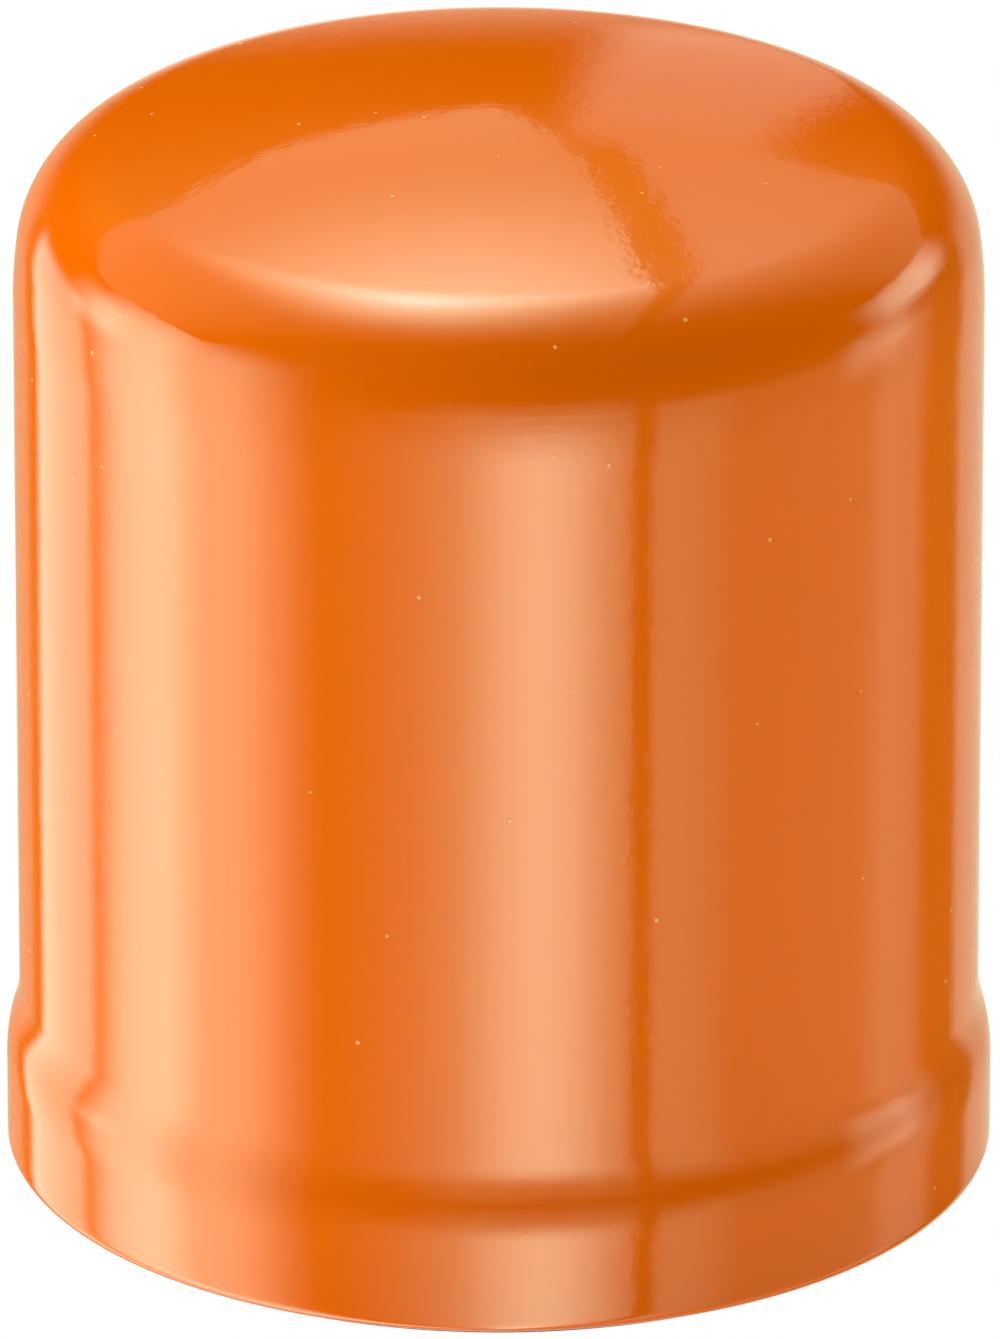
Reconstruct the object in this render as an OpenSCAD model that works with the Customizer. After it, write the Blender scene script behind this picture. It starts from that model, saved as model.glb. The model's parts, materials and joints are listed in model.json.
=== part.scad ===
// Spin-on oil filter for a small engine.
// A drawn steel can is closed by a tapped base plate and a seaming lid that holds the gasket. Inside, a coil
// spring presses a pleated element, with its bypass valve, down on the collar of the anti-drainback valve.
// +Z is up. The origin is on the thread's axis, in the plane of the gasket's sealing face, so the filter
// stands on its gasket with the dome on top.

/* [Can] */
// Outer diameter of the can's straight body
can_d = 76; // [75:0.5:78]
// Height of the can from its rim to the crown of the dome
can_h = 86.6; // [84:0.2:100]
// Thickness of the can's sheet
can_t = 0.6; // [0.5:0.05:0.7]
// How far the mouth's band stands out from the body, on the radius
band_step = 1.03; // [0.9:0.01:1.2]
// Height of the band's straight wall above the rim
band_h = 7.5; // [7.2:0.1:7.8]
// Radius of the shoulder between body and dome
shoulder_r = 8.8; // [7:0.1:10]
// Radius of the curl at the rim
curl_r = 1.15; // [1.1:0.01:1.2]

/* [Gasket] */
// Outer diameter of the gasket
gasket_od = 72.2; // [71:0.2:72.6]
// Inner diameter of the gasket
gasket_id = 61.6; // [60.6:0.2:62]
// How far the gasket stands out below the rim
gasket_proud = 1.2; // [1.1:0.1:1.4]
// Thickness of the gasket
gasket_t = 5.2; // [5.1:0.1:5.4]

/* [Base plate] */
// Thickness of the base plate
plate_t = 3; // [2.6:0.1:3]
// Major diameter of the thread, three quarters of an inch
thread_d = 19.05; // [18:0.05:20]
// Threads per inch
thread_tpi = 16; // [12:1:20]
// Outer diameter of the threaded hub
hub_d = 26; // [25.6:0.1:26.2]
// Length of the threaded hub
hub_h = 10.8; // [10.6:0.1:11.2]
// Number of oil inlets
inlet_count = 8; // [4:1:10]
// Diameter of an oil inlet
inlet_d = 6; // [4:0.5:6.5]
// Diameter of the circle that the inlets lie on
inlet_pcd = 41; // [40.5:0.5:43]

/* [Element] */
// Outer diameter of the end caps
element_d = 67.2; // [66:0.2:68]
// Height of the element over its end caps
element_h = 55; // [50:0.5:56]
// Number of pleats
pleat_count = 46; // [36:2:48]
// Thickness of the filter paper
paper_t = 0.5; // [0.4:0.05:0.55]
// Outer diameter of the centre tube
tube_d = 29; // [28.6:0.2:29.4]
// Diameter of a hole in the centre tube
tube_hole_d = 4; // [2:0.5:5]
// Holes round the centre tube
tube_columns = 8; // [4:1:10]
// Rows of holes along the centre tube
tube_rows = 8; // [4:1:9]

/* [Valves] */
// Radius of the bypass orifice
bypass_orifice_r = 5.5; // [4.5:0.1:6]
// Depth of the bypass cage below the element's upper end cap
cage_depth = 13.5; // [12.5:0.5:15]
// Wire diameter of the bypass spring
bypass_wire_d = 0.9; // [0.7:0.1:1.1]
// Wire diameter of the element spring
element_wire_d = 1.8; // [1.4:0.1:2]
// Radius of the anti-drainback valve's lip
lip_r = 27.5; // [26.5:0.1:28.5]
// Thickness of the anti-drainback valve's skirt
skirt_t = 1.2; // [1:0.1:1.4]

/* [Hidden] */
$fn = 96;

inch = 25.4;
gap = 0.1;               // assembly gap between nested sheet parts
sheet_t = 0.5;           // thickness of the lid, end caps, cage and centre tube

// Can: radii and heights of its outer surface
body_r = can_d / 2;
band_r = body_r + band_step;
rim_z = gasket_proud;
band_z = rim_z + band_h;
flare_r = 11.5;          // convex arc from the band inwards
flare_fillet_r = 11.5;   // concave arc from the flare up to the body
flare_a = acos(1 - band_step / (flare_r + flare_fillet_r));
waist_r = 34;            // slight barrel below the shoulder
waist_a = 8;
crown_a = 80;            // slope angle at which the shoulder becomes the dome
shoulder_c = body_r - waist_r + (waist_r - shoulder_r) * cos(waist_a);
crown_r = shoulder_c / cos(crown_a) + shoulder_r;
crown_z = rim_z + can_h;
shoulder_z = crown_z - crown_r + (crown_r - shoulder_r) * sin(crown_a);
waist_z = shoulder_z - (waist_r - shoulder_r) * sin(waist_a);
hook_z = 4.6;            // height of the can's hook above the sealing face

// Seam, lid and base plate
seam_r = band_r - curl_r;
seam_z = rim_z + curl_r;
lid_z = gasket_t;        // underside of the lid's panel
plate_z = lid_z + sheet_t;
plate_top_z = plate_z + plate_t;
plate_clearance = 0.23;  // between the plate's edge and the can
plate_corner = 0.4;
plate_r = band_r - can_t - plate_clearance;
lid_lip_z = 2.1;         // underside of the lid's inner lip
lid_lip_r = gasket_id / 2 - gap;
lid_inner_r = 28.2;
lid_bend = 0.9;          // radius of the lid's bends
gasket_corner = 0.5;

// Threaded hub
thread_pitch = inch / thread_tpi;
thread_allowance = 0.03;
thread_depth = 0.49 * thread_pitch;
thread_major_r = thread_d / 2 + thread_allowance;
thread_minor_r = thread_d / 2 - thread_depth;
thread_flank_a = 30;
hub_r = hub_d / 2;
hub_top_z = plate_z + hub_h;
hub_step_w = 3.2;        // step round the hub that carries the valve's collar
hub_step_h = 3.3;
hub_step_r = hub_r + hub_step_w;
hub_step_z = plate_top_z + hub_step_h;
thread_chamfer = 1;      // where the thread starts
hub_end_chamfer = 0.6;
hub_end_round = 0.8;
hub_step_round = 0.6;
hub_root_r = 1;          // fillet between hub and plate

// Element stack, from the valve's collar up
element_z = 15.5;
cap_r = element_d / 2;
cap_rim_h = 3.5;
cap_bend = 0.5;
adhesive_t = 1.5;
adhesive_gap = 0.15;     // between the compound and a cap's rim
tube_r = tube_d / 2;
element_top_z = element_z + element_h;
media_z0 = element_z + sheet_t + adhesive_t;
media_z1 = element_top_z - sheet_t - adhesive_t;
media_outer_r = cap_r - 1.2;
media_inner_r = tube_r + 1.1;
paper_seam_gap = 0.08;

// Bypass valve, hung in the upper end cap
cage_r = 11;
cage_floor_z = element_top_z - cage_depth;
cage_flange_r = 15;
cage_flange_z = element_top_z;
seat_z = cage_flange_z + sheet_t;
seat_t = 1;
seat_r = cage_flange_r - sheet_t - gap;
seal_t = 1.2;
seal_r = 8;
poppet_t = 0.8;
poppet_top_z = seat_z - seal_t;
stem_r = 2;
stem_clearance = 0.08;
stem_end_z = cage_floor_z - 3;
window_count = 4;

// Springs
spring_sides = 8;
spring_steps = 20;       // rings a turn
closed_turn = 0.6;       // part of a turn that lies flat at each end
wire_gap = 0.02;         // between a spring's end and what it presses on
element_spring_turns = 4;
element_spring_r0 = 17.4;
element_spring_r1 = 12.5;
bypass_spring_turns = 6;
bypass_spring_r = 4.4;

paint = [0.93, 0.42, 0.05];
steel = [0.72, 0.73, 0.74];
zinc = [0.80, 0.79, 0.74];
rubber = [0.09, 0.09, 0.10];
silicone = [0.80, 0.20, 0.10];
paper = [0.88, 0.80, 0.58];
plastisol = [0.35, 0.33, 0.30];
spring_steel = [0.55, 0.56, 0.58];

// ---- outlines ----

// Points of an arc, from angle a0 to a1
function arc(c, r, a0, a1, n = 12) =
    [for (i = [0 : n]) let (a = a0 + (a1 - a0) * i / n) [c[0] + r * cos(a), c[1] + r * sin(a)]];

function turn_left(v) = [-v[1], v[0]];

function unit(v) = v / norm(v);

// Normal of the step from point i to the next one
function step_normal(p, i) = turn_left(unit(p[i + 1] - p[i]));

// A path moved sideways by t, to its left where t is positive
function beside(p, t) = [
    for (i = [0 : len(p) - 1])
        let (
            a = step_normal(p, max(i - 1, 0)),
            b = step_normal(p, min(i, len(p) - 2))
        )
        p[i] + t * (a + b) / (1 + a * b)
];

function backwards(p) = [for (i = [len(p) - 1 : -1 : 0]) p[i]];

// A path without the points that repeat where one arc runs into the next
function single(p) = [
    for (i = [0 : len(p) - 1])
        if (i == 0 || norm(p[i] - p[max(i - 1, 0)]) > 0.001) p[i]
];

// Outline of a bent sheet of thickness t that lies to the left of a path
function sheet(p, t) = let (s = single(p)) concat(s, backwards(beside(s, t)));

// Turns an outline round the axis, none of it past the axis
module lathe(points) {
    rotate_extrude() polygon([for (p = points) [max(p[0], 0), p[1]]]);
}

module ring(r0, r1, z0, z1) {
    lathe([[r0, z0], [r1, z0], [r1, z1], [r0, z1]]);
}

// Outline of a ring's section with rounded corners
function rounded_section(r0, r1, z0, z1, c) = concat(
    arc([r0 + c, z0 + c], c, 180, 270, 6),
    arc([r1 - c, z0 + c], c, 270, 360, 6),
    arc([r1 - c, z1 - c], c, 0, 90, 6),
    arc([r0 + c, z1 - c], c, 90, 180, 6)
);

// ---- springs ----

// Height of a coil spring's wire, as a share of its free rise, with a closed part turn at each end
function closed_rise(turns, u) =
    min(max((u * turns - closed_turn) / (turns - 2 * closed_turn), 0), 1);

function coil_point(r0, r1, z0, z1, turns, u) =
    let (r = r0 + (r1 - r0) * closed_rise(turns, u), a = 360 * turns * u)
    [r * cos(a), r * sin(a), z0 + (z1 - z0) * closed_rise(turns, u)];

// Corner k of the wire's section at a point of the coil
function wire_point(c, a, wire_r, k) =
    let (b = 360 * k / spring_sides)
    c + wire_r * [cos(b) * cos(a), cos(b) * sin(a), sin(b)];

// A coil spring whose wire centre climbs from z0 to z1 while its radius goes from r0 to r1
module coil_spring(r0, r1, z0, z1, turns, wire_d) {
    rings = turns * spring_steps;
    points = [
        for (i = [0 : rings])
            let (c = coil_point(r0, r1, z0, z1, turns, i / rings))
            for (k = [0 : spring_sides - 1])
                wire_point(c, 360 * turns * i / rings, wire_d / 2, k)
    ];
    sides = [
        for (i = [0 : rings - 1])
            for (k = [0 : spring_sides - 1])
                let (
                    a = i * spring_sides + k,
                    b = i * spring_sides + (k + 1) % spring_sides
                )
                each [[a, a + spring_sides, b], [b, a + spring_sides, b + spring_sides]]
    ];
    start = [for (k = [0 : spring_sides - 1]) k];
    end = [for (k = [spring_sides - 1 : -1 : 0]) rings * spring_sides + k];
    polyhedron(points = points, faces = concat(sides, [start, end]), convexity = 6);
}

// ---- shell ----

// Outer surface of the can, from the crown down to the end of its hook
can_path = concat(
    arc([0, crown_z - crown_r], crown_r, 90, crown_a, 10),
    arc([shoulder_c, shoulder_z], shoulder_r, crown_a, waist_a, 24),
    arc([body_r - waist_r, waist_z], waist_r, waist_a, 0, 4),
    backwards(arc([body_r + flare_fillet_r, band_z + (flare_r + flare_fillet_r) * sin(flare_a)],
        flare_fillet_r, 180 + flare_a, 180, 5)),
    arc([band_r - flare_r, band_z], flare_r, flare_a, 0, 8),
    arc([seam_r, seam_z], curl_r, 0, -180, 16),
    [[seam_r - curl_r, hook_z]]
);

module can() {
    color(paint) lathe(sheet(can_path, -can_t));
}

// One pitch of the thread's section, as a groove annulus above height z
function groove(z) =
    let (flank = (thread_major_r - thread_minor_r) * tan(thread_flank_a), root = thread_pitch / 8)
    [
        [thread_minor_r, z],
        [thread_major_r, z + flank],
        [thread_major_r, z + flank + root],
        [thread_minor_r, z + 2 * flank + root]
    ];

groove_count = floor((hub_h - 2 * thread_chamfer) / thread_pitch);
groove_z = (plate_z + hub_top_z) / 2 - groove_count * thread_pitch / 2 + thread_pitch / 8;

plate_outline = concat(
    [[thread_minor_r + thread_chamfer, plate_z]],
    [[thread_minor_r, plate_z + thread_chamfer]],
    [for (i = [0 : groove_count - 1]) each groove(groove_z + i * thread_pitch)],
    [[thread_minor_r, hub_top_z - hub_end_chamfer], [thread_minor_r + hub_end_chamfer, hub_top_z]],
    arc([hub_r - hub_end_round, hub_top_z - hub_end_round], hub_end_round, 90, 0, 6),
    [[hub_r, hub_step_z]],
    arc([hub_step_r - hub_step_round, hub_step_z - hub_step_round], hub_step_round, 90, 0, 5),
    backwards(arc([hub_step_r + hub_root_r, plate_top_z + hub_root_r], hub_root_r, 270, 180, 6)),
    arc([plate_r - plate_corner, plate_top_z - plate_corner], plate_corner, 90, 0, 4),
    arc([plate_r - plate_corner, plate_z + plate_corner], plate_corner, 0, -90, 4)
);

module base_plate() {
    color(steel) difference() {
        lathe(plate_outline);
        for (i = [0 : inlet_count - 1])
            rotate(360 * i / inlet_count)
                translate([inlet_pcd / 2, 0, plate_z - 1]) cylinder(d = inlet_d, h = plate_t + 2);
    }
}

// Underside of the lid, from its hooked flange inwards to the inner lip
flange_r = seam_r + sheet_t / 2;
flange_end_gap = 0.15;
lid_path = concat(
    [[flange_r, seam_z + flange_end_gap]],
    arc([flange_r - lid_bend, plate_z - lid_bend], lid_bend, 0, 90, 8),
    backwards(arc([lid_lip_r - sheet_t + lid_bend, plate_z - lid_bend], lid_bend, 180, 90, 8)),
    arc([lid_lip_r - sheet_t - lid_bend, lid_lip_z + sheet_t + lid_bend], lid_bend, 0, -90, 6),
    [[lid_inner_r, lid_lip_z + sheet_t]]
);

module seaming_lid() {
    color(zinc) lathe(sheet(lid_path, sheet_t));
}

module seam_compound() {
    bead_clearance = 0.05;
    bead_r = curl_r - can_t - bead_clearance;
    color(rubber) lathe(arc([seam_r, seam_z], bead_r, 180, 360, 10));
}

module gasket() {
    color(rubber) lathe(rounded_section(gasket_id / 2, gasket_od / 2, 0, gasket_t, gasket_corner));
}

// ---- anti-drainback valve ----

collar_r0 = hub_r + 0.1;
collar_r1 = hub_step_r + 0.1;
skirt_root_z = hub_step_z + 0.3;
skirt_root_w = 1;        // thickening where the skirt leaves the collar
skirt_root_h = 0.8;
collar_round = 0.4;
lip_round = 0.5;
lip_w = 1.6;             // flat of the lip on the plate
lip_h = 0.7;
valve_outline = concat(
    [[collar_r0, hub_step_z], [collar_r1, hub_step_z]],
    [[collar_r1 + 0.3, skirt_root_z]],
    [[lip_r - lip_w - 0.2, plate_top_z + lip_h], [lip_r - lip_w, plate_top_z]],
    arc([lip_r - lip_round, plate_top_z + lip_round], lip_round, 270, 360, 4),
    arc([lip_r - lip_round, plate_top_z + skirt_t], lip_round, 0, 60, 4),
    [[collar_r1 + skirt_root_w, skirt_root_z + skirt_t + 0.2]],
    [[collar_r1, skirt_root_z + skirt_t + skirt_root_h]],
    arc([collar_r1 - collar_round, element_z - collar_round], collar_round, 0, 90, 4),
    arc([collar_r0 + collar_round, element_z - collar_round], collar_round, 90, 180, 4)
);

module anti_drainback_valve() {
    color(silicone) lathe(valve_outline);
}

// ---- element ----

// Inside of an end cap's sheet, from its hole out to the rim's edge, for a cap whose plate lies at height 0
function cap_path(hole_r) = concat(
    [[hole_r, sheet_t]],
    backwards(arc([cap_r - sheet_t - cap_bend, sheet_t + cap_bend], cap_bend, 0, -90, 6)),
    [[cap_r - sheet_t, cap_rim_h]]
);

module end_cap(hole_r) {
    lathe(sheet(cap_path(hole_r), -sheet_t));
}

module lower_end_cap() {
    color(zinc) translate([0, 0, element_z]) end_cap(hub_r + 0.6);
}

module upper_end_cap() {
    color(zinc) translate([0, 0, element_top_z]) mirror([0, 0, 1]) end_cap(cage_r + 0.7);
}

module adhesive_ring(z) {
    ring(tube_r + gap, cap_r - sheet_t - adhesive_gap, z, z + adhesive_t);
}

module lower_adhesive() {
    color(plastisol) difference() {
        adhesive_ring(element_z + sheet_t);
        cap_corner(element_z + sheet_t, 1);
    }
}

module upper_adhesive() {
    color(plastisol) difference() {
        adhesive_ring(media_z1);
        cap_corner(media_z1 + adhesive_t, -1);
    }
}

// Bevel that clears the bend inside an end cap's rim
module cap_corner(z, up) {
    r = cap_r - sheet_t;
    bevel = cap_bend + 0.1;
    past = 0.01;
    lathe([
        [r - bevel, z - past * up],
        [r + 1, z - past * up],
        [r + 1, z + bevel * up],
        [r - past, z + bevel * up]
    ]);
}

// Point at radius r, a distance s round from a pleat's centre line at angle a
function polar(r, a, s) = let (b = a + s / r * 180 / PI) [r * cos(b), r * sin(b)];

pleat_pitch_a = 360 / pleat_count;
tip_w = 1.9;             // width of a pleat's outer fold
tip_bend = 0.4;          // bevel of its two bends
valley_w = 0.5;          // gap between pleats at their root

// The media's surface: outside of the paper where t is 0, inside where t is the paper's thickness
function pleat_points(t) = [
    for (i = [0 : pleat_count - 1])
        let (
            a = i * pleat_pitch_a,
            b = a + pleat_pitch_a / 2,
            tip = tip_w / 2 - t,
            root = valley_w / 2 + t,
            r0 = media_inner_r + paper_t - t,
            r1 = media_outer_r - t
        )
        each [
            polar(r1 - tip_bend, a, -tip), polar(r1, a, -tip + tip_bend),
            polar(r1, a, tip - tip_bend), polar(r1 - tip_bend, a, tip),
            polar(r0, b, -root), polar(r0, b, root)
        ]
];

module pleated_media() {
    color(paper) translate([0, 0, media_z0]) linear_extrude(media_z1 - media_z0) difference() {
        polygon(pleat_points(0));
        polygon(pleat_points(paper_t));
    }
}

// Folded strip over the pleat where the two ends of the paper meet
module media_seam_clip() {
    clip_t = 0.3;
    clip_depth = 4;
    clip_w = tip_w + 2 * paper_seam_gap;
    cap_clearance = 0.5;
    outer = media_outer_r + paper_seam_gap;
    low = element_z + cap_rim_h + cap_clearance;
    high = element_top_z - cap_rim_h - cap_clearance;
    color(zinc) translate([0, 0, low]) linear_extrude(high - low) difference() {
        translate([outer - clip_depth, -clip_w / 2 - clip_t])
            square([clip_depth + clip_t, clip_w + 2 * clip_t]);
        translate([outer - clip_depth - 1, -clip_w / 2]) square([clip_depth + 1, clip_w]);
    }
}

module centre_tube() {
    length = element_h - 2 * sheet_t;
    row_pitch = length / (tube_rows + 1);
    color(zinc) translate([0, 0, element_z + sheet_t]) difference() {
        ring(tube_r - sheet_t, tube_r, 0, length);
        for (row = [1 : tube_rows])
            for (column = [0 : tube_columns - 1])
                rotate(360 * (column + (row % 2) / 2) / tube_columns)
                    translate([tube_r - 2, 0, row * row_pitch]) rotate([0, 90, 0])
                        cylinder(d = tube_hole_d, h = 4, $fn = 32);
    }
}

module element_spring() {
    r = element_wire_d / 2;
    dome_drop = element_spring_r1 ^ 2 / (2 * crown_r);
    dome_gap = 0.3;
    color(spring_steel)
        coil_spring(element_spring_r0, element_spring_r1,
            element_top_z + r + wire_gap, crown_z - can_t - dome_drop - r - dome_gap,
            element_spring_turns, element_wire_d);
}

// ---- bypass valve ----

cage_bend = 1;
crimp_bend = 0.4;
crimp_w = 2;
crimp_z = seat_z + seat_t + gap;

// Inside of the cage, from its floor's hole up the wall and out to the crimp over the seat
cage_path = concat(
    [[stem_r + stem_clearance, cage_floor_z + sheet_t]],
    backwards(arc([cage_r - sheet_t - cage_bend, cage_floor_z + sheet_t + cage_bend], cage_bend, 0, -90, 6)),
    arc([cage_r - sheet_t + cage_bend, seat_z - cage_bend], cage_bend, 180, 90, 6),
    backwards(arc([cage_flange_r - sheet_t - crimp_bend, seat_z + crimp_bend], crimp_bend, 0, -90, 5)),
    arc([cage_flange_r - sheet_t - crimp_bend, crimp_z - crimp_bend], crimp_bend, 0, 90, 5),
    [[cage_flange_r - crimp_w, crimp_z]]
);

module bypass_cage() {
    window_h = 7;
    window_w = 9;
    sill_h = 3;
    color(steel) difference() {
        lathe(sheet(cage_path, -sheet_t));
        for (i = [0 : window_count - 1])
            rotate(360 * i / window_count)
                translate([0, -window_w / 2, cage_floor_z + sill_h]) cube([cage_r + 1, window_w, window_h]);
    }
}

module bypass_seat() {
    outer_bevel = 0.5;
    inner_bevel = 0.3;
    color(steel) lathe([
        [bypass_orifice_r + inner_bevel, seat_z],
        [seat_r - outer_bevel, seat_z],
        [seat_r, seat_z + outer_bevel],
        [seat_r, seat_z + seat_t],
        [bypass_orifice_r, seat_z + seat_t],
        [bypass_orifice_r, seat_z + inner_bevel]
    ]);
}

// Plate on a stem, whose head is riveted over the seal
module bypass_poppet() {
    stem_bevel = 0.4;
    plate_r = seal_r + 0.2;
    head_r = stem_r + 0.8;
    head_h = 0.7;
    color(steel) lathe(concat(
        [[0, stem_end_z], [stem_r - stem_bevel, stem_end_z], [stem_r, stem_end_z + stem_bevel]],
        [[stem_r, poppet_top_z - poppet_t], [plate_r, poppet_top_z - poppet_t]],
        [[plate_r, poppet_top_z], [stem_r, poppet_top_z], [stem_r, seat_z]],
        [[head_r, seat_z], [head_r - 0.2, seat_z + head_h - 0.2], [0, seat_z + head_h]]
    ));
}

module bypass_seal() {
    color(rubber) ring(stem_r + 0.05, seal_r, poppet_top_z, seat_z);
}

// Push-on clip that keeps the poppet in its cage
module bypass_stem_clip() {
    clip_r = 4.4;
    clip_t = 0.5;
    clip_dish = 0.5;
    notch_count = 3;
    notch_w = 0.7;
    notch_r = 3;
    top = cage_floor_z - 0.3;
    bore_r = stem_r + 0.02;
    color(spring_steel) difference() {
        lathe([
            [bore_r, top - clip_t],
            [clip_r - 0.2, top - clip_dish - 0.4],
            [clip_r, top - clip_dish],
            [bore_r, top]
        ]);
        for (i = [0 : notch_count - 1])
            rotate(360 * i / notch_count)
                translate([0, -notch_w / 2, top - 2]) cube([notch_r, notch_w, 4]);
    }
}

module bypass_spring() {
    r = bypass_wire_d / 2;
    color(spring_steel)
        coil_spring(bypass_spring_r, bypass_spring_r,
            cage_floor_z + sheet_t + r + wire_gap, poppet_top_z - poppet_t - r - wire_gap,
            bypass_spring_turns, bypass_wire_d);
}

can();
base_plate();
seaming_lid();
seam_compound();
gasket();
anti_drainback_valve();
lower_end_cap();
lower_adhesive();
pleated_media();
media_seam_clip();
centre_tube();
upper_adhesive();
upper_end_cap();
element_spring();
bypass_cage();
bypass_seat();
bypass_poppet();
bypass_seal();
bypass_stem_clip();
bypass_spring();
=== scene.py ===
"""Looks of a spin-on oil filter: its paint, metal, rubber and paper, the light round it and the camera."""

import json
import math
import random

import bmesh
import bpy
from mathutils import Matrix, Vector


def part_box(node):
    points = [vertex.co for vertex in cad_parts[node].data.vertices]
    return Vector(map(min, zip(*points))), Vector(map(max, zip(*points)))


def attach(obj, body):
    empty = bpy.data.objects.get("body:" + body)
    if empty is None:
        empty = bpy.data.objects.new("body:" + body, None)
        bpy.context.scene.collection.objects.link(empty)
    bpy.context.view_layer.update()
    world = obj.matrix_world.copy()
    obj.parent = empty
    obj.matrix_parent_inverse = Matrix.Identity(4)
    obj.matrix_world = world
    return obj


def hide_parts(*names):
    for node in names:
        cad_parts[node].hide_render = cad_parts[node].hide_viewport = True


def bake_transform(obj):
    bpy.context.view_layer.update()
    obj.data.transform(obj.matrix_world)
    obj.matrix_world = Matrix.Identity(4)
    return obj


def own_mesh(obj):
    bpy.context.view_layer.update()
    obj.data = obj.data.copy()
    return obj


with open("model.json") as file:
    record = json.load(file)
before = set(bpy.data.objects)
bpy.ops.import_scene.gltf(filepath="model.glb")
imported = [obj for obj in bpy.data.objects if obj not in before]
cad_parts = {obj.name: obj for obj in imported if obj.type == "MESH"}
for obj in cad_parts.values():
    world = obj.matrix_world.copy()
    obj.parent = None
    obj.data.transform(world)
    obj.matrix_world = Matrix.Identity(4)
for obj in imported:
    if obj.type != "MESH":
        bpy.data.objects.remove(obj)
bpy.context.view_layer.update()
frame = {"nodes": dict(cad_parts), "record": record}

MM = 0.001
AROUND = 192  # segments of a turned piece


class Extent:
    """Outer radius, lowest and highest height of a turned node at rest, in millimetres."""

    def __init__(self, node):
        low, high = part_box(node)
        self.radius = round(high[0] / MM, 2)
        self.low = round(low[2] / MM, 2)
        self.high = round(high[2] / MM, 2)


# ---- outlines, as (radius, height) points in millimetres ----


def arc(centre, radius, start, end, steps=12):
    """Points of an arc, from one angle to another."""
    angles = [math.radians(start + (end - start) * i / steps) for i in range(steps + 1)]
    return [(centre[0] + radius * math.cos(a), centre[1] + radius * math.sin(a)) for a in angles]


def line(start, end, steps):
    """Points of a straight stretch, both ends included."""
    return [tuple(a + (b - a) * i / steps for a, b in zip(start, end)) for i in range(steps + 1)]


def rounded_ring(inner, outer, low, high, corner):
    """Section of a ring with rounded corners."""
    return (
        arc((inner + corner, low + corner), corner, 180, 270, 8)
        + arc((outer - corner, low + corner), corner, 270, 360, 8)
        + arc((outer - corner, high - corner), corner, 0, 90, 8)
        + arc((inner + corner, high - corner), corner, 90, 180, 8)
    )


def without_repeats(path):
    """The path without the points that repeat where one arc runs into the next."""
    kept = [path[0]]
    for point in path[1:]:
        if math.dist(point, kept[-1]) > 0.001:
            kept.append(point)
    return kept


def left_normal(a, b):
    """Unit vector to the left of the way from a to b."""
    length = math.dist(a, b)
    return (-(b[1] - a[1]) / length, (b[0] - a[0]) / length)


def beside(path, distance):
    """The path moved sideways, to its left where distance is positive."""
    moved = []
    for i, (r, z) in enumerate(path):
        before = left_normal(path[max(i - 1, 0)], path[max(i, 1)])
        last = len(path) - 1
        after = left_normal(path[min(i, last - 1)], path[min(i + 1, last)])
        reach = distance / (1 + before[0] * after[0] + before[1] * after[1])
        moved.append((max(r + reach * (before[0] + after[0]), 0), z + reach * (before[1] + after[1])))
    return moved


def sheet(path, thickness):
    """Outline of a bent sheet that lies beside a path."""
    path = without_repeats(path)
    return path + beside(path, thickness)[::-1]


# ---- mesh builders ----


def mesh_object(name, vertices, faces, sharp_above=35):
    """A smooth-shaded object whose edges stay sharp above an angle."""
    mesh = bpy.data.meshes.new(name)
    mesh.from_pydata([tuple(c * MM for c in v) for v in vertices], [], faces)
    shape = bmesh.new()
    shape.from_mesh(mesh)
    bmesh.ops.remove_doubles(shape, verts=shape.verts, dist=1e-7)
    bmesh.ops.recalc_face_normals(shape, faces=shape.faces)
    shape.to_mesh(mesh)
    shape.free()
    mesh.shade_smooth()
    mesh.set_sharp_from_angle(angle=math.radians(sharp_above))
    made = bpy.data.objects.new(name, mesh)
    bpy.context.scene.collection.objects.link(made)
    return made


def lathe(name, outline, segments=AROUND, sharp_above=35):
    """A closed outline turned round the Z axis: a list of points, or a function of the turn."""
    outline_at = outline if callable(outline) else lambda turn: outline
    outline = outline_at(0)
    count = len(outline)
    vertices = []
    for step in range(segments):
        turn = 2 * math.pi * step / segments
        vertices += [(r * math.cos(turn), r * math.sin(turn), z) for r, z in outline_at(turn)]
    faces = []
    for step in range(segments):
        here = step * count
        there = (step + 1) % segments * count
        for i in range(count):
            j = (i + 1) % count
            if outline[i][0] > 0 or outline[j][0] > 0:
                faces.append((here + i, there + i, there + j, here + j))
    return mesh_object(name, vertices, faces, sharp_above)


CLOSED_TURN = 0.6  # part of a turn that lies flat at each end of a coil spring


def coil_share(turns, u):
    """Height of a coil spring's wire as a share of its rise, at a share of its length."""
    return min(max((u * turns - CLOSED_TURN) / (turns - 2 * CLOSED_TURN), 0), 1)


def coil(name, radii, heights, turns, wire, sides=16, steps=48):
    """A coil spring of round wire, whose radius and height go from the first to the second value."""
    vertices = []
    rings = round(turns * steps)
    for ring in range(rings + 1):
        share = coil_share(turns, ring / rings)
        radius = radii[0] + (radii[1] - radii[0]) * share
        height = heights[0] + (heights[1] - heights[0]) * share
        turn = 2 * math.pi * turns * ring / rings
        for side in range(sides):
            lean = 2 * math.pi * side / sides
            out = radius + wire / 2 * math.cos(lean)
            up = height + wire / 2 * math.sin(lean)
            vertices.append((out * math.cos(turn), out * math.sin(turn), up))
    faces = [tuple(range(sides)), tuple(rings * sides + side for side in range(sides))]
    for ring in range(rings):
        for side in range(sides):
            a = ring * sides + side
            b = ring * sides + (side + 1) % sides
            faces.append((a, b, b + sides, a + sides))
    return mesh_object(name, vertices, faces, sharp_above=60)


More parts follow.
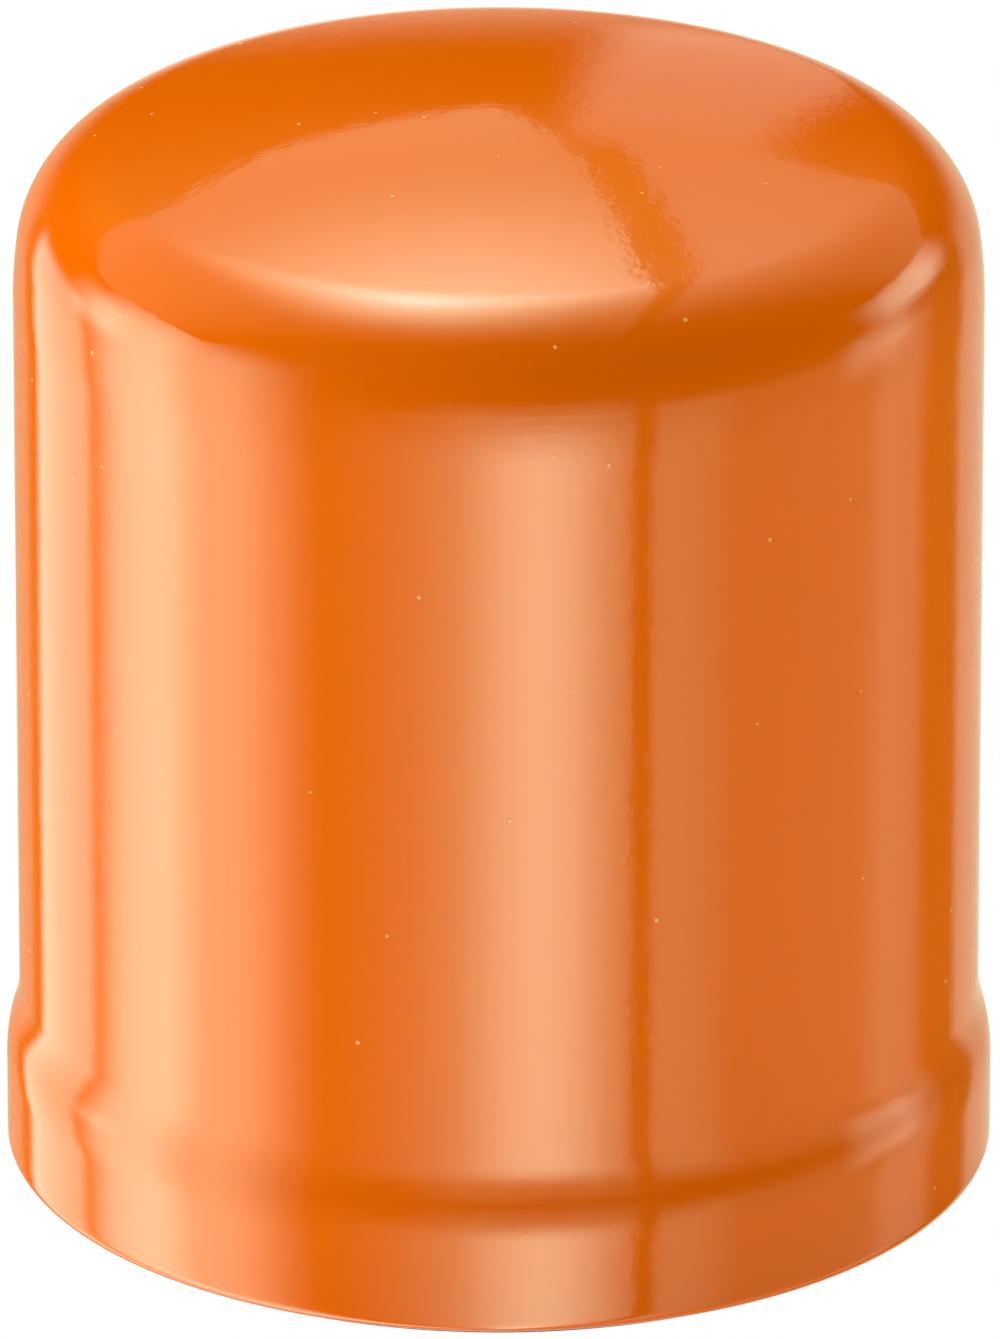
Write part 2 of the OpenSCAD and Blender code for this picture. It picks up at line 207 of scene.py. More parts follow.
def cut(target, cutter, sharp_above=35):
    """Takes the cutter's shape out of the target, and removes the cutter."""
    modifier = target.modifiers.new("cut", "BOOLEAN")
    modifier.object = cutter
    modifier.solver = "EXACT"
    whole = target.data
    drilled = target.evaluated_get(bpy.context.evaluated_depsgraph_get())
    target.data = bpy.data.meshes.new_from_object(drilled)
    target.modifiers.clear()
    target.data.shade_smooth()
    target.data.set_sharp_from_angle(angle=math.radians(sharp_above))
    bpy.data.objects.remove(cutter)
    bpy.data.meshes.remove(whole)


def stand_in(piece, node, body, look):
    """The piece takes a CAD node's place: its body and its finish."""
    piece.data.materials.clear()
    piece.data.materials.append(look)
    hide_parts(node)
    if body:
        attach(piece, body)


# ---- materials ----


class Nodes:
    """A node tree that is built up call by call."""

    def __init__(self, tree):
        self.tree = tree

    def node(self, kind, **settings):
        made = self.tree.nodes.new(kind)
        for key, value in settings.items():
            setattr(made, key, value)
        return made

    def link(self, source, target):
        self.tree.links.new(source, target)

    def math(self, operation, *values):
        """Result of a sum on sockets and plain numbers."""
        made = self.node("ShaderNodeMath", operation=operation)
        for socket, value in zip(made.inputs, values):
            if isinstance(value, (int, float)):
                socket.default_value = value
            else:
                self.link(value, socket)
        return made.outputs["Value"]


class Look(Nodes):
    """A procedural material built round one Principled shader, in object coordinates, in metres."""

    def __init__(self, name, **sockets):
        self.material = bpy.data.materials.new(name)
        self.material.use_nodes = True
        super().__init__(self.material.node_tree)
        self.shader = self.tree.nodes["Principled BSDF"]
        self.place = self.node("ShaderNodeTexCoord").outputs["Object"]
        self.height = None
        for socket, value in sockets.items():
            self.shader.inputs[socket.replace("_", " ")].default_value = value

    def noise(self, scale, detail=3, stretch=(1, 1, 1)):
        """Factor of a noise with that many features a metre, drawn out where stretch is small."""
        mapping = self.node("ShaderNodeMapping")
        mapping.inputs["Scale"].default_value = stretch
        self.link(self.place, mapping.inputs["Vector"])
        texture = self.node("ShaderNodeTexNoise")
        texture.inputs["Scale"].default_value = scale
        texture.inputs["Detail"].default_value = detail
        self.link(mapping.outputs["Vector"], texture.inputs["Vector"])
        return texture.outputs["Fac"]

    def cells(self, scale):
        """Distance from the cell centres of a Voronoi pattern with that many cells a metre."""
        texture = self.node("ShaderNodeTexVoronoi")
        texture.inputs["Scale"].default_value = scale
        self.link(self.place, texture.inputs["Vector"])
        return texture.outputs["Distance"]

    def between(self, value, low, high, start=0.0, end=1.0):
        """Value mapped from low..high to start..end, and held there outside."""
        ranged = self.node("ShaderNodeMapRange")
        for socket, number in zip(("From Min", "From Max", "To Min", "To Max"), (low, high, start, end)):
            ranged.inputs[socket].default_value = number
        self.link(value, ranged.inputs["Value"])
        return ranged.outputs["Result"]

    def spot(self, amount, colour):
        """Mixes a colour over the base colour where amount is 1."""
        mix = self.node("ShaderNodeMix", data_type="RGBA")
        socket = self.shader.inputs["Base Color"]
        under = socket.links[0].from_socket
        self.link(amount, mix.inputs["Factor"])
        self.link(under, mix.inputs[6])
        mix.inputs[7].default_value = (*colour, 1)
        self.link(mix.outputs[2], socket)

    def colour(self, factor, stops):
        """The base colour, along a ramp between two (place, colour) stops."""
        ramp = self.node("ShaderNodeValToRGB")
        for element, (place, colour) in zip(ramp.color_ramp.elements, stops):
            element.position = place
            element.color = (*colour, 1)
        self.link(factor, ramp.inputs["Fac"])
        self.link(ramp.outputs["Color"], self.shader.inputs["Base Color"])

    def roughness(self, factor, low, high):
        """Roughness between two values, over the middle range of a noise."""
        self.link(self.between(factor, 0.3, 0.7, low, high), self.shader.inputs["Roughness"])

    def bump(self, height, depth):
        """Raises the surface by up to a depth in metres, on top of the bumps so far."""
        bump = self.node("ShaderNodeBump")
        bump.inputs["Distance"].default_value = depth
        self.link(height, bump.inputs["Height"])
        if self.height:
            self.link(self.height, bump.inputs["Normal"])
        self.height = bump.outputs["Normal"]
        for socket in ("Normal", "Coat Normal"):
            self.link(self.height, self.shader.inputs[socket])


MICRON = 0.000001


def orange_paint():
    """Glossy powder coat with a light orange peel, faint drawing lines and a few specks of dust."""
    look = Look("orange_paint", IOR=1.5, Specular_Tint=(0.75, 1.0, 0.8, 1))
    look.colour(look.noise(14, 2), [(0.3, (0.71, 0.124, 0.0004)), (0.7, (0.74, 0.13, 0.0006))])
    look.roughness(look.noise(60, 3), 0.04, 0.09)
    peel = look.noise(760, 2)
    fine_peel = look.noise(2100, 1)
    drawing_lines = look.noise(9, 4, (1, 1, 60))
    specks = look.between(look.cells(230), 0.045, 0.03)
    look.spot(specks, (0.85, 0.38, 0.12))
    look.bump(peel, 9 * MICRON)
    look.bump(fine_peel, 3 * MICRON)
    look.bump(drawing_lines, 20 * MICRON)
    look.bump(specks, 20 * MICRON)
    return look.material


def steel(name, tone, roughness):
    """Bare or plated steel with a fine grain and a patchy tone."""
    look = Look(name, Metallic=1.0)
    dark = tuple(0.72 * c for c in tone)
    look.colour(look.noise(70, 6), [(0.3, dark), (0.62, tone)])
    look.roughness(look.noise(160, 5), roughness, roughness + 0.18)
    look.bump(look.noise(900, 3), 12 * MICRON)
    return look.material


def rubber(name, tone, roughness, bloom):
    """Moulded rubber with a fine grain and a pale bloom in patches."""
    look = Look(name, IOR=1.5)
    look.colour(look.noise(120, 6), [(0.35, tone), (0.8, bloom)])
    look.roughness(look.noise(200, 4), roughness, roughness + 0.15)
    look.bump(look.noise(2500, 3), 10 * MICRON)
    return look.material


def filter_paper():
    """Resin-treated paper: fibrous, matt and slightly uneven in tone."""
    look = Look("filter_paper", Roughness=0.9)
    look.colour(look.noise(350, 8), [(0.3, (0.62, 0.47, 0.22)), (0.7, (0.80, 0.66, 0.38))])
    look.roughness(look.noise(500, 4), 0.82, 0.95)
    look.bump(look.noise(1800, 8, (1, 1, 0.4)), 40 * MICRON)
    return look.material


def plastisol():
    """Cured potting compound with small pores."""
    look = Look("plastisol", IOR=1.48)
    look.colour(look.noise(90, 5), [(0.3, (0.13, 0.12, 0.10)), (0.7, (0.20, 0.18, 0.16))])
    look.roughness(look.noise(250, 3), 0.42, 0.6)
    look.bump(look.cells(700), 50 * MICRON)
    return look.material


# ---- the can ----

CAN = Extent("can")
BODY_R = 38.0
BAND_R = CAN.radius
RIM_Z = CAN.low
BAND_TOP = RIM_Z + 7.5
CROWN_Z = CAN.high
CAN_T = 0.6
CURL_R = 1.15
SEAM_R = BAND_R - CURL_R
SEAM_Z = RIM_Z + CURL_R
FLARE_R = 11.5
FLARE_FILLET_R = 11.5
WAIST_R = 34.0
WAIST_A = 8
SHOULDER_R = 8.8
CROWN_A = 80
HOOK_Z = 4.6


def cosine(degrees):
    return math.cos(math.radians(degrees))


def sine(degrees):
    return math.sin(math.radians(degrees))


def can_path():
    """Outer surface of the can, from the crown down to the end of its hook."""
    shoulder_x = BODY_R - WAIST_R + (WAIST_R - SHOULDER_R) * cosine(WAIST_A)
    crown_r = shoulder_x / cosine(CROWN_A) + SHOULDER_R
    shoulder_z = CROWN_Z - crown_r + (crown_r - SHOULDER_R) * sine(CROWN_A)
    waist_z = shoulder_z - (WAIST_R - SHOULDER_R) * sine(WAIST_A)
    flare_a = math.degrees(math.acos(1 - (BAND_R - BODY_R) / (FLARE_R + FLARE_FILLET_R)))
    flare_z = BAND_TOP + (FLARE_R + FLARE_FILLET_R) * sine(flare_a)
    wall = [(BODY_R, waist_z + (flare_z - waist_z) * i / 24) for i in range(25)]
    return (
        arc((0, CROWN_Z - crown_r), crown_r, 90, CROWN_A, 24)
        + arc((shoulder_x, shoulder_z), SHOULDER_R, CROWN_A, WAIST_A, 48)
        + arc((BODY_R - WAIST_R, waist_z), WAIST_R, WAIST_A, 0, 8)
        + wall
        + arc((BODY_R + FLARE_FILLET_R, flare_z), FLARE_FILLET_R, 180, 180 + flare_a, 10)
        + arc((BAND_R - FLARE_R, BAND_TOP), FLARE_R, flare_a, 0, 14)
        + [(BAND_R, BAND_TOP - (BAND_TOP - SEAM_Z) * i / 6) for i in range(1, 6)]
        + arc((SEAM_R, SEAM_Z), CURL_R, 0, -180, 24)
        + [(SEAM_R - CURL_R, HOOK_Z)]
    )


# ---- looks of the pieces inside ----

STEEL_TONE = (0.50, 0.49, 0.47)
ZINC_TONE = (0.66, 0.65, 0.60)
WIRE_TONE = (0.30, 0.30, 0.31)

looks = {
    "orange_paint": orange_paint(),
    "plate_steel": steel("plate_steel", STEEL_TONE, 0.32),
    "zinc_plate": steel("zinc_plate", ZINC_TONE, 0.24),
    "spring_steel": steel("spring_steel", WIRE_TONE, 0.28),
    "gasket_rubber": rubber("gasket_rubber", (0.012, 0.012, 0.012), 0.38, (0.03, 0.03, 0.032)),
    "seam_rubber": rubber("seam_rubber", (0.02, 0.02, 0.022), 0.5, (0.04, 0.04, 0.042)),
    "silicone": rubber("silicone", (0.42, 0.05, 0.02), 0.34, (0.52, 0.09, 0.045)),
    "filter_paper": filter_paper(),
    "plastisol": plastisol(),
}

for part in frame["record"]["subparts"]:
    for slot in frame["nodes"][part["node"]].material_slots:
        slot.link = "OBJECT"
        slot.material = looks[part["material_slot"]]


# ---- base plate, lid and gasket ----

PLATE = Extent("base_plate")
PLATE_T = 3.0
THREAD_PITCH = 25.4 / 16
THREAD_MAJOR_R = 9.555
THREAD_MINOR_R = 8.747
THREAD_LEAD_IN = 1.0
THREAD_LEAD_OUT = 0.6
ROOT_HALF = 1 / 16  # half the width of the thread's root, as a share of the pitch
FLANK = 0.294  # width of a flank, as a share of the pitch
THREAD_ROWS = 20  # rows of vertices for a turn of the thread
HUB_R = 13.0
HUB_STEP_R = 16.2
HUB_STEP_Z = PLATE.low + PLATE_T + 3.3
HUB_ROUND = 0.8
STEP_ROUND = 0.6
ROOT_FILLET = 1.0
PLATE_ROUND = 0.4
INLET_COUNT = 8
INLET_R = 3.0
INLET_CIRCLE_R = 20.5


def thread_groove(share):
    """How deep the thread is at a share of its pitch: 0 on the crest, 1 in the root."""
    from_root = abs(share % 1 - 0.5)
    return min(max((ROOT_HALF + FLANK - from_root) / FLANK, 0), 1)


def bore_radius(z, turn):
    """Radius of the right-handed thread's surface, opened out at both ends."""
    groove = thread_groove(z / THREAD_PITCH - turn / (2 * math.pi))
    lead_in = THREAD_MINOR_R + THREAD_LEAD_IN - (z - PLATE.low)
    lead_out = THREAD_MINOR_R + THREAD_LEAD_OUT - (PLATE.high - z)
    return max(THREAD_MINOR_R + (THREAD_MAJOR_R - THREAD_MINOR_R) * groove, lead_in, lead_out)


def plate_outline(turn):
    rows = round((PLATE.high - PLATE.low) / THREAD_PITCH * THREAD_ROWS)
    heights = [PLATE.low + (PLATE.high - PLATE.low) * i / rows for i in range(rows + 1)]
    top = PLATE.low + PLATE_T
    root = (HUB_STEP_R + ROOT_FILLET, top + ROOT_FILLET)
    return (
        [(bore_radius(z, turn), z) for z in heights]
        + arc((HUB_R - HUB_ROUND, PLATE.high - HUB_ROUND), HUB_ROUND, 90, 0, 8)
        + [(HUB_R, HUB_STEP_Z)]
        + arc((HUB_STEP_R - STEP_ROUND, HUB_STEP_Z - STEP_ROUND), STEP_ROUND, 90, 0, 8)
        + arc(root, ROOT_FILLET, 180, 270, 8)
        + arc((PLATE.radius - PLATE_ROUND, top - PLATE_ROUND), PLATE_ROUND, 90, 0, 6)
        + arc((PLATE.radius - PLATE_ROUND, PLATE.low + PLATE_ROUND), PLATE_ROUND, 0, -90, 6)
    )


def inlet_punch():
    """The shape of one punched oil inlet: rolled over where the punch went in, flared where it came out."""
    low = PLATE.low
    top = PLATE.low + PLATE_T
    rolled = 0.45
    flared = 0.15
    over = 0.2
    outline = (
        [(0, low - over), (INLET_R + rolled + over, low - over)]
        + arc((INLET_R + rolled, low + rolled), rolled, 270, 180, 6)
        + [(INLET_R, top - flared), (INLET_R + flared + over, top + over), (0, top + over)]
    )
    return lathe("inlet_punch", outline, segments=48)


def threaded_plate():
    plate = lathe("threaded_base_plate", plate_outline)
    for i in range(INLET_COUNT):
        punch = inlet_punch()
        angle = 2 * math.pi * i / INLET_COUNT
        punch.location = INLET_CIRCLE_R * MM * Vector((math.cos(angle), math.sin(angle), 0))
        bpy.context.view_layer.update()
        cut(plate, punch)
    return plate


SHEET_T = 0.5
LID = Extent("seaming_lid")
GASKET = Extent("gasket")
GASKET_INNER_R = 30.8
GASKET_ROUND = 0.5
LID_BEND = 0.9
LID_INNER_R = 28.2
LID_GAP = 0.1  # between the lid's lip and the gasket
LID_LIP_R = GASKET_INNER_R - LID_GAP - SHEET_T
LID_FLANGE_Z = SEAM_Z + 0.15


def lid_path():
    """Underside of the lid, from its flange in the seam inwards to the lip round the gasket."""
    panel = PLATE.low - LID_BEND
    lip = LID.low + SHEET_T
    return (
        [(LID.radius, LID_FLANGE_Z)]
        + arc((LID.radius - LID_BEND, panel), LID_BEND, 0, 90, 12)
        + arc((LID_LIP_R + LID_BEND, panel), LID_BEND, 90, 180, 12)
        + arc((LID_LIP_R - LID_BEND, lip + LID_BEND), LID_BEND, 0, -90, 10)
        + [(LID_INNER_R, lip)]
    )


# ---- anti-drainback valve ----

VALVE = Extent("anti_drainback_valve")
COLLAR_GAP = 0.1
COLLAR_R0 = HUB_R + COLLAR_GAP
COLLAR_R1 = HUB_STEP_R + COLLAR_GAP
COLLAR_ROUND = 0.4
SKIRT_T = 1.2
SKIRT_ROOT_RISE = 0.3
LIP_ROUND = 0.5
LIP_R = VALVE.radius - 1.6
LIP_HEEL = (LIP_R - 0.2, VALVE.low + 0.7)
LIP_TOP = (VALVE.radius - 1, VALVE.low + SKIRT_T + 0.6)


def valve_outline():
    """Collar on the hub's step, skirt down to the lip on the plate."""
    root = HUB_STEP_Z + SKIRT_ROOT_RISE
    collar_foot = (COLLAR_R1, root + SKIRT_T + 0.8)
    skirt_top = (COLLAR_R1 + 1, root + SKIRT_T + 0.2)
    lip_x = VALVE.radius - LIP_ROUND
    collar_z = VALVE.high - COLLAR_ROUND
    return (
        [(COLLAR_R0, HUB_STEP_Z), (COLLAR_R1, HUB_STEP_Z)]
        + line((COLLAR_R1 + SKIRT_ROOT_RISE, root), LIP_HEEL, 16)
        + [(LIP_R, VALVE.low)]
        + arc((lip_x, VALVE.low + LIP_ROUND), LIP_ROUND, 270, 360, 6)
        + arc((lip_x, VALVE.low + SKIRT_T), LIP_ROUND, 0, 60, 6)
        + line(LIP_TOP, skirt_top, 16)
        + [collar_foot]
        + arc((COLLAR_R1 - COLLAR_ROUND, collar_z), COLLAR_ROUND, 0, 90, 6)
        + arc((COLLAR_R0 + COLLAR_ROUND, collar_z), COLLAR_ROUND, 90, 180, 6)
    )


# ---- springs ----


def spring(name, node, body, radii, wire, turns):
    """A round-wire coil spring in a node's place."""
    extent = Extent(node)
    made = coil(name, radii, (extent.low + wire / 2, extent.high - wire / 2), turns, wire)
    stand_in(made, node, body, looks["spring_steel"])
    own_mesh(made)


# ---- pleated paper ----

MEDIA = Extent("pleated_media")
PLEAT_COUNT = 46
PAPER_T = 0.5
FOLD_R = 0.95  # outside radius of a pleat's outer fold
VALLEY_R = 0.25  # outside radius of the fold at a pleat's root
MEDIA_INNER_R = 15.6
MEDIA_ROWS = 12
FOLD_STEPS = 8
PLEAT_LEAN = 0.35


def pleat_loop(depth, share, leans):
    """The paper's surface round the element: outside at depth 0, inside at the paper's thickness."""
    root_r = MEDIA_INNER_R + PAPER_T + VALLEY_R
    sway = math.sin(math.pi * share)
    loop = []
    for pleat in range(PLEAT_COUNT):
        middle = 2 * math.pi * pleat / PLEAT_COUNT + leans[pleat] * sway / MEDIA.radius
        valley = 2 * math.pi * (pleat + 0.5) / PLEAT_COUNT
        folds = ((middle, MEDIA.radius - FOLD_R, FOLD_R - depth, 1), (valley, root_r, VALLEY_R + depth, -1))
        for turn, centre, radius, out in folds:
            for step in range(FOLD_STEPS + 1):
                lean = math.radians(-90 + 180 / FOLD_STEPS * step)
                along = centre + out * radius * math.cos(lean)
                across = radius * math.sin(lean)
                loop.append((
                    along * math.cos(turn) - across * math.sin(turn),
                    along * math.sin(turn) + across * math.cos(turn),
                ))
    return loop


def folded_media():
    """Pleated paper with rounded folds, whose pleats lean a little between the end caps."""
    draw = random.Random(4)
    leans = [0] + [draw.uniform(-PLEAT_LEAN, PLEAT_LEAN) for _ in range(PLEAT_COUNT - 1)]
    vertices = []
    for row in range(MEDIA_ROWS + 1):
        share = row / MEDIA_ROWS
        z = MEDIA.low + (MEDIA.high - MEDIA.low) * share
        for depth in (0, PAPER_T):
            vertices += [(x, y, z) for x, y in pleat_loop(depth, share, leans)]
    count = len(vertices) // (2 * (MEDIA_ROWS + 1))
    faces = []
    for i in range(count):
        j = (i + 1) % count
        for row in range(MEDIA_ROWS):
            here = row * 2 * count
            above = here + 2 * count
            faces.append((here + i, here + j, above + j, above + i))
            faces.append((here + count + j, here + count + i, above + count + i, above + count + j))
        top = MEDIA_ROWS * 2 * count
        faces.append((j, i, count + i, count + j))
        faces.append((top + i, top + j, top + count + j, top + count + i))
    return mesh_object("folded_media", vertices, faces, sharp_above=60)


# ---- the pieces made here ----

can_shell = lathe("can_shell", sheet(can_path(), -CAN_T), segments=360)
stand_in(can_shell, "can", "housing", looks["orange_paint"])

stand_in(threaded_plate(), "base_plate", "housing", looks["plate_steel"])

rolled_lid = lathe("rolled_lid", sheet(lid_path(), SHEET_T))
stand_in(rolled_lid, "seaming_lid", "housing", looks["zinc_plate"])

gasket_section = rounded_ring(GASKET_INNER_R, GASKET.radius, GASKET.low, GASKET.high, GASKET_ROUND)
gasket_ring = lathe("gasket_ring", gasket_section)
stand_in(gasket_ring, "gasket", "housing", looks["gasket_rubber"])

diaphragm = lathe("drainback_diaphragm", valve_outline())
stand_in(diaphragm, "anti_drainback_valve", None, looks["silicone"])
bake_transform(diaphragm)

stand_in(folded_media(), "pleated_media", "element", looks["filter_paper"])

spring(
    "element_coil", "element_spring", "housing",
    radii=(17.4, 12.5), wire=1.8, turns=4,
)
spring(
    "bypass_coil", "bypass_spring", "element",
    radii=(4.4, 4.4), wire=0.9, turns=6,
)


# ---- floor, light and camera ----

WHITE = (1, 1, 1, 1)
FLOOR_SIZE = 8
FLOOR_LEFT = 0.46
FLOOR_RIGHT = 0.74
FLOOR_BLEND = 0.15  # half width of the change from left to right, in metres
FILL_SIZE = 4
FILL_Z = 1.2
FILL_RADIANCE = 0.85


def glowing_sheet(name, size, height, look):
    """A square stage sheet that gives light, and shows neither to the camera nor in a reflection."""
    bpy.ops.mesh.primitive_plane_add(size=size, location=(0, 0, height))
    made = bpy.context.object
    made.name = name
    made.data.materials.append(look.material)
    made.visible_glossy = False
    made.visible_camera = False


def studio_floor():
    """A plain white table that glows a little, more on the right. It leaves the underside in view."""
    look = Look("white_table", Roughness=0.9, Base_Color=(0.9, 0.9, 0.9, 1), Emission_Color=WHITE)
    side = look.node("ShaderNodeSeparateXYZ")
    look.link(look.place, side.inputs[0])
    glow = look.between(side.outputs["X"], -FLOOR_BLEND, FLOOR_BLEND, FLOOR_LEFT, FLOOR_RIGHT)
    look.link(glow, look.shader.inputs["Emission Strength"])
    glowing_sheet("studio_floor", FLOOR_SIZE, 0, look)


def overhead_fill():
    """A wide soft light over the tent."""
    look = Look(
        "overhead_fill",
        Base_Color=(0, 0, 0, 1),
        Emission_Color=WHITE,
        Emission_Strength=FILL_RADIANCE,
    )
    glowing_sheet("overhead_fill", FILL_SIZE, FILL_Z, look)


# Bright patches round the can, in degrees: azimuth from the camera's side, half width and edge,
# then the lowest and highest elevation and their edge. The last number is radiance.
PATCHES = [
    (-94, 14, 8, -90, 25, 14, 3.2),
    (-77, 22, 14, -90, 20, 13, 4.7),
    (-108, 8, 8, -4, 14, 6, 4.0),
    (-128, 14, 3, -90, 3, 4, 2.7),
    (10, 11, 12, -90, -12, 9, 4.8),
    (6, 26, 24, -90, -10, 9, 2.2),
    (8, 22, 12, -90, 5, 8, 1.0),
    (46, 8, 6, -90, -5, 9, 0.7),
    (70, 36, 8, -90, -5, 9, 0.5),
    (100, 11, 6, -13, 3, 4, 1.8),
    (110, 9, 6, -90, -3, 8, 0.8),
    (116, 14, 9, 4, 20, 5, 4.0),
    (163, 22, 4, -90, 2, 8, 0.6),
    (-165, 15, 4, -90, 2, 8, 0.4),
    (176, 2.3, 0.7, 4, 24, 2, 0.6),
]
DARK_SEAM = (34, 2.5, 1.5)
SKY_TINT = (1.0, 0.93, 0.79)

# Weak yellowish light from the table and from behind, seen in the paint between the patches
AMBIENT = [
    (0, 200, 10, -90, 0, 14, 0.22),
    (180, 75, 20, 25, 120, 10, 0.5),
]
AMBIENT_TINT = (1.0, 0.8, 0.15)


class Sky(Nodes):
    """World nodes that add up bright patches by direction."""

    def __init__(self, world):
        world.use_nodes = True
        super().__init__(world.node_tree)
        split = self.node("ShaderNodeSeparateXYZ")
        self.link(self.node("ShaderNodeTexCoord").outputs["Generated"], split.inputs[0])
        backwards = self.math("MULTIPLY", split.outputs["Y"], -1)
        self.azimuth = self.math("ARCTAN2", split.outputs["X"], backwards)
        self.elevation = self.math("ARCSINE", split.outputs["Z"])

    def vector(self, operation, a, b):
        made = self.node("ShaderNodeVectorMath", operation=operation)
        self.link(a, made.inputs[0])
        self.link(b, made.inputs[1])
        return made.outputs["Vector"]

    def tinted(self, strength, tint):
        """A colour of that strength."""
        made = self.node("ShaderNodeVectorMath", operation="SCALE")
        made.inputs[0].default_value = tint
        self.link(strength, made.inputs["Scale"])
        return made.outputs["Vector"]

    def window(self, angle, centre, half, edge):
        """1 within half a width of a centre, fading to 0 over the edge. Angles are in degrees."""
        away = self.math("SUBTRACT", angle, math.radians(centre))
        away = self.math("ABSOLUTE", self.math("WRAP", away, math.pi, -math.pi))
        fade = self.node("ShaderNodeMapRange", interpolation_type="SMOOTHSTEP")
        fade.inputs["From Min"].default_value = math.radians(half + edge)
        fade.inputs["From Max"].default_value = math.radians(half - edge)
        self.link(away, fade.inputs["Value"])
        return fade.outputs["Result"]

    def patch(self, azimuth, half, edge, low, high, rise, radiance):
        """The radiance of one soft-edged patch, 0 outside it."""
        side = self.window(self.azimuth, azimuth, half, edge)
        level = self.window(self.elevation, (low + high) / 2, (high - low) / 2, rise)
        return self.math("MULTIPLY", self.math("MULTIPLY", side, level), radiance)

    def together(self, patches):
        """The radiance of several patches."""
        light = self.patch(*patches[0])
        for patch in patches[1:]:
            light = self.math("ADD", light, self.patch(*patch))
        return light


def studio_sky():
    """The patches round the can. To the camera itself the background is white."""
    world = bpy.data.worlds.new("studio")
    bpy.context.scene.world = world
    sky = Sky(world)
    seam = sky.math("SUBTRACT", 1, sky.window(sky.azimuth, *DARK_SEAM))
    light = sky.math("MULTIPLY", sky.together(PATCHES), seam)
    ambient = sky.tinted(sky.together(AMBIENT), AMBIENT_TINT)
    colour = sky.vector("ADD", sky.tinted(light, SKY_TINT), ambient)
    background = sky.tinted(sky.node("ShaderNodeLightPath").outputs["Is Camera Ray"], WHITE[:3])
    colour = sky.vector("MAXIMUM", colour, background)
    sky.link(colour, sky.tree.nodes["Background"].inputs["Color"])


# Corners of the light tent's two roof sheets, seen from above, in metres. A dark ridge lies between them.
ROOF_Z = 1.0
ROOF_LEFT = [
    (0.0, 2.58), (-0.12, 2.32), (-0.22, 2.05), (-0.29, 1.65), (-0.4, 1.42), (-0.6, 1.27),
    (-0.9, 1.21), (-2.2, 1.15), (-2.2, -0.6), (0.4, -0.6), (0.28, 0.1), (0.225, 0.4),
    (0.16, 0.8), (0.11, 1.1), (0.095, 1.4), (0.075, 1.8), (0.04, 2.2),
]
ROOF_RIGHT = [
    (0.46, -0.6), (2.2, -0.6), (2.2, 1.88), (0.9, 1.9), (0.31, 1.98), (0.24, 2.2), (0.1, 2.35),
    (0.12, 1.9), (0.14, 1.5), (0.16, 1.1), (0.21, 0.8), (0.28, 0.4), (0.335, 0.1),
]
ROOF_COLOUR = (1.0, 1.0, 0.68, 1)
GLOW_REACH = 3.0  # where a lamp's glow ends, in half axes


class Lamp:
    """The glow of a lamp behind a roof sheet: an oval, in metres, with its turn in degrees."""

    def __init__(self, centre, axes, turn, radiance):
        self.centre = centre
        self.axes = axes
        self.turn = turn
        self.radiance = radiance

    def glow(self, look):
        """1 in the middle of the oval, falling to 0 at the end of the glow."""
        oval = look.node("ShaderNodeMapping", vector_type="TEXTURE")
        oval.inputs["Location"].default_value = (*self.centre, ROOF_Z)
        oval.inputs["Rotation"].default_value = (0, 0, math.radians(self.turn))
        oval.inputs["Scale"].default_value = (*self.axes, 1)
        look.link(look.place, oval.inputs["Vector"])
        away = look.node("ShaderNodeVectorMath", operation="LENGTH")
        look.link(oval.outputs["Vector"], away.inputs[0])
        return look.math("POWER", look.between(away.outputs["Value"], GLOW_REACH, 0), 3)


class Fade:
    """Where a roof sheet's front fades out: from the line y = slope * x + start, over a width."""

    def __init__(self, slope, start, width):
        self.slope = slope
        self.start = start
        self.width = width

    def level(self, look):
        """0 in front of the line, rising to 1."""
        across = look.node("ShaderNodeVectorMath", operation="DOT_PRODUCT")
        across.inputs[1].default_value = (-self.slope, 1, 0)
        look.link(look.place, across.inputs[0])
        lit = look.between(across.outputs["Value"], self.start, self.start + self.width)
        lit.node.interpolation_type = "SMOOTHSTEP"
        return lit


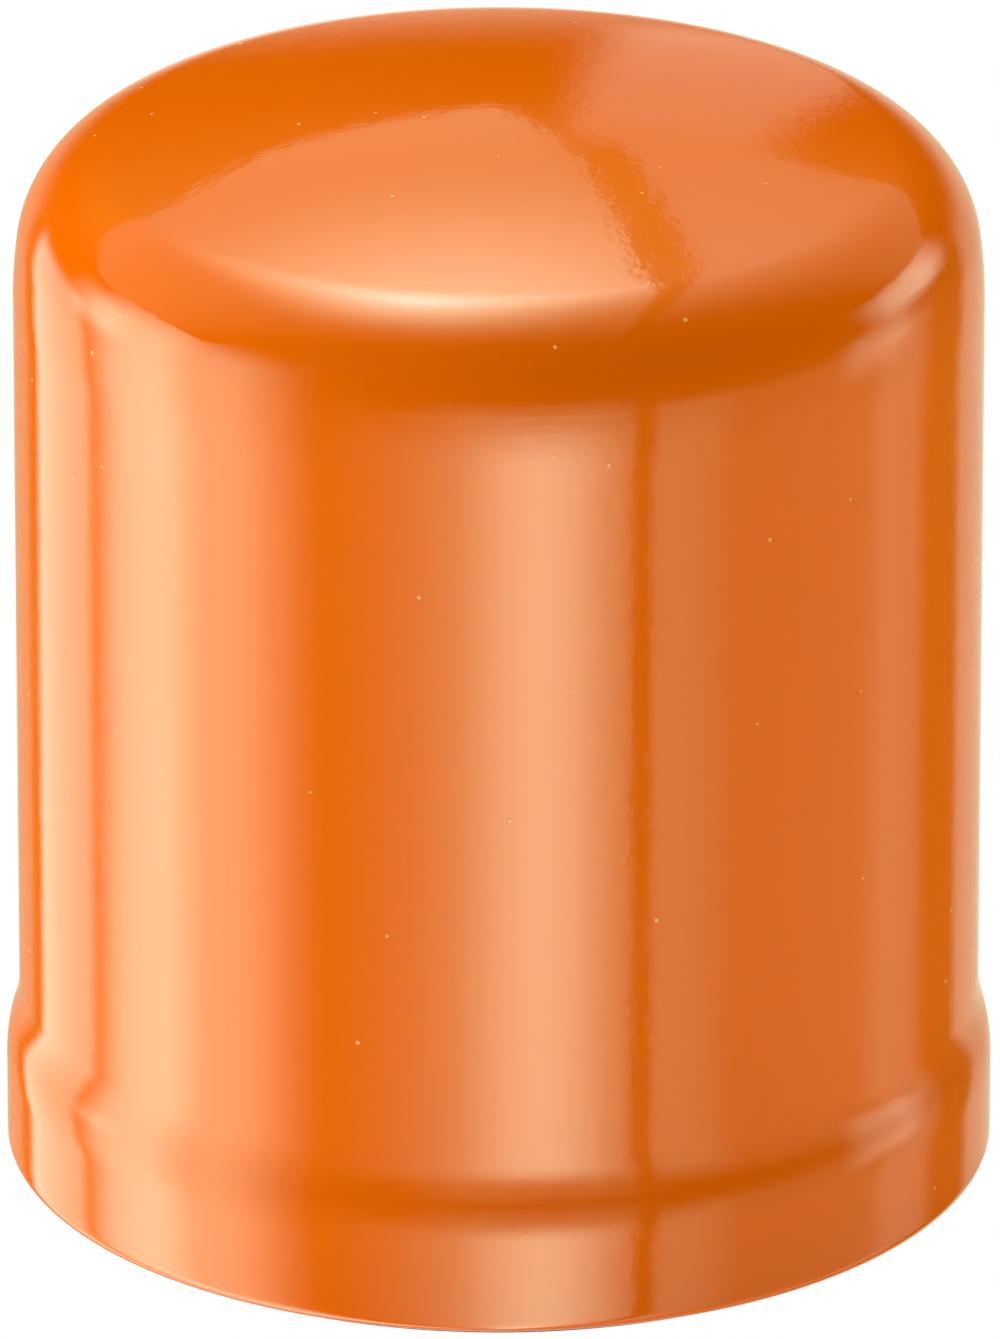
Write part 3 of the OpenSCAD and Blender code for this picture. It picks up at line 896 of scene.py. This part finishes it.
def roof_sheet(name, corners, radiance, lamp, fade):
    """A sheet of the light tent, with a lamp behind it and a front that fades out."""
    mesh = bpy.data.meshes.new(name)
    mesh.from_pydata([(x, y, ROOF_Z) for x, y in corners], [], [tuple(range(len(corners)))])
    roof = bpy.data.objects.new(name, mesh)
    bpy.context.scene.collection.objects.link(roof)
    look = Look(name)
    glow = lamp.glow(look)
    radiance_there = look.between(glow, 0, 1, radiance, radiance + lamp.radiance)
    strength = look.math("MULTIPLY", radiance_there, fade.level(look))
    colour = look.node("ShaderNodeMix", data_type="RGBA")
    look.link(glow, colour.inputs["Factor"])
    colour.inputs[6].default_value = ROOF_COLOUR
    colour.inputs[7].default_value = WHITE
    emission = look.node("ShaderNodeEmission")
    look.link(colour.outputs[2], emission.inputs["Color"])
    look.link(strength, emission.inputs["Strength"])
    look.link(emission.outputs["Emission"], look.tree.nodes["Material Output"].inputs["Surface"])
    mesh.materials.append(look.material)
    roof.visible_camera = False


LEFT_LAMP = Lamp(centre=(-0.1, 0.5), axes=(0.2, 0.5), turn=-7, radiance=12.0)
RIGHT_LAMP = Lamp(centre=(0.1, 0.75), axes=(0.35, 0.7), turn=-7, radiance=1.2)
LEFT_FADE = Fade(slope=0, start=-0.5, width=0.7)
RIGHT_FADE = Fade(slope=0.5, start=-0.5, width=0.8)

studio_floor()
studio_sky()
overhead_fill()
roof_sheet("roof_left", ROOF_LEFT, 0.85, LEFT_LAMP, LEFT_FADE)
roof_sheet("roof_right", ROOF_RIGHT, 0.55, RIGHT_LAMP, RIGHT_FADE)

CAMERA_ELEVATION = 24.0
CAMERA_DISTANCE = 1.659
CAMERA_LENS = 373.8
AIM = Vector((0.0001, 0, 0.0411))

camera = bpy.data.objects.new("camera", bpy.data.cameras.new("camera"))
camera.data.sensor_fit = "VERTICAL"
camera.data.lens = CAMERA_LENS
base = Vector((0, 0, RIM_Z * MM))
camera.location = base + CAMERA_DISTANCE * Vector((0, -cosine(CAMERA_ELEVATION), sine(CAMERA_ELEVATION)))
camera.rotation_euler = (AIM - camera.location).to_track_quat("-Z", "Y").to_euler()
bpy.context.scene.collection.objects.link(camera)
bpy.context.scene.camera = camera
bpy.context.scene.view_settings.view_transform = "Standard"
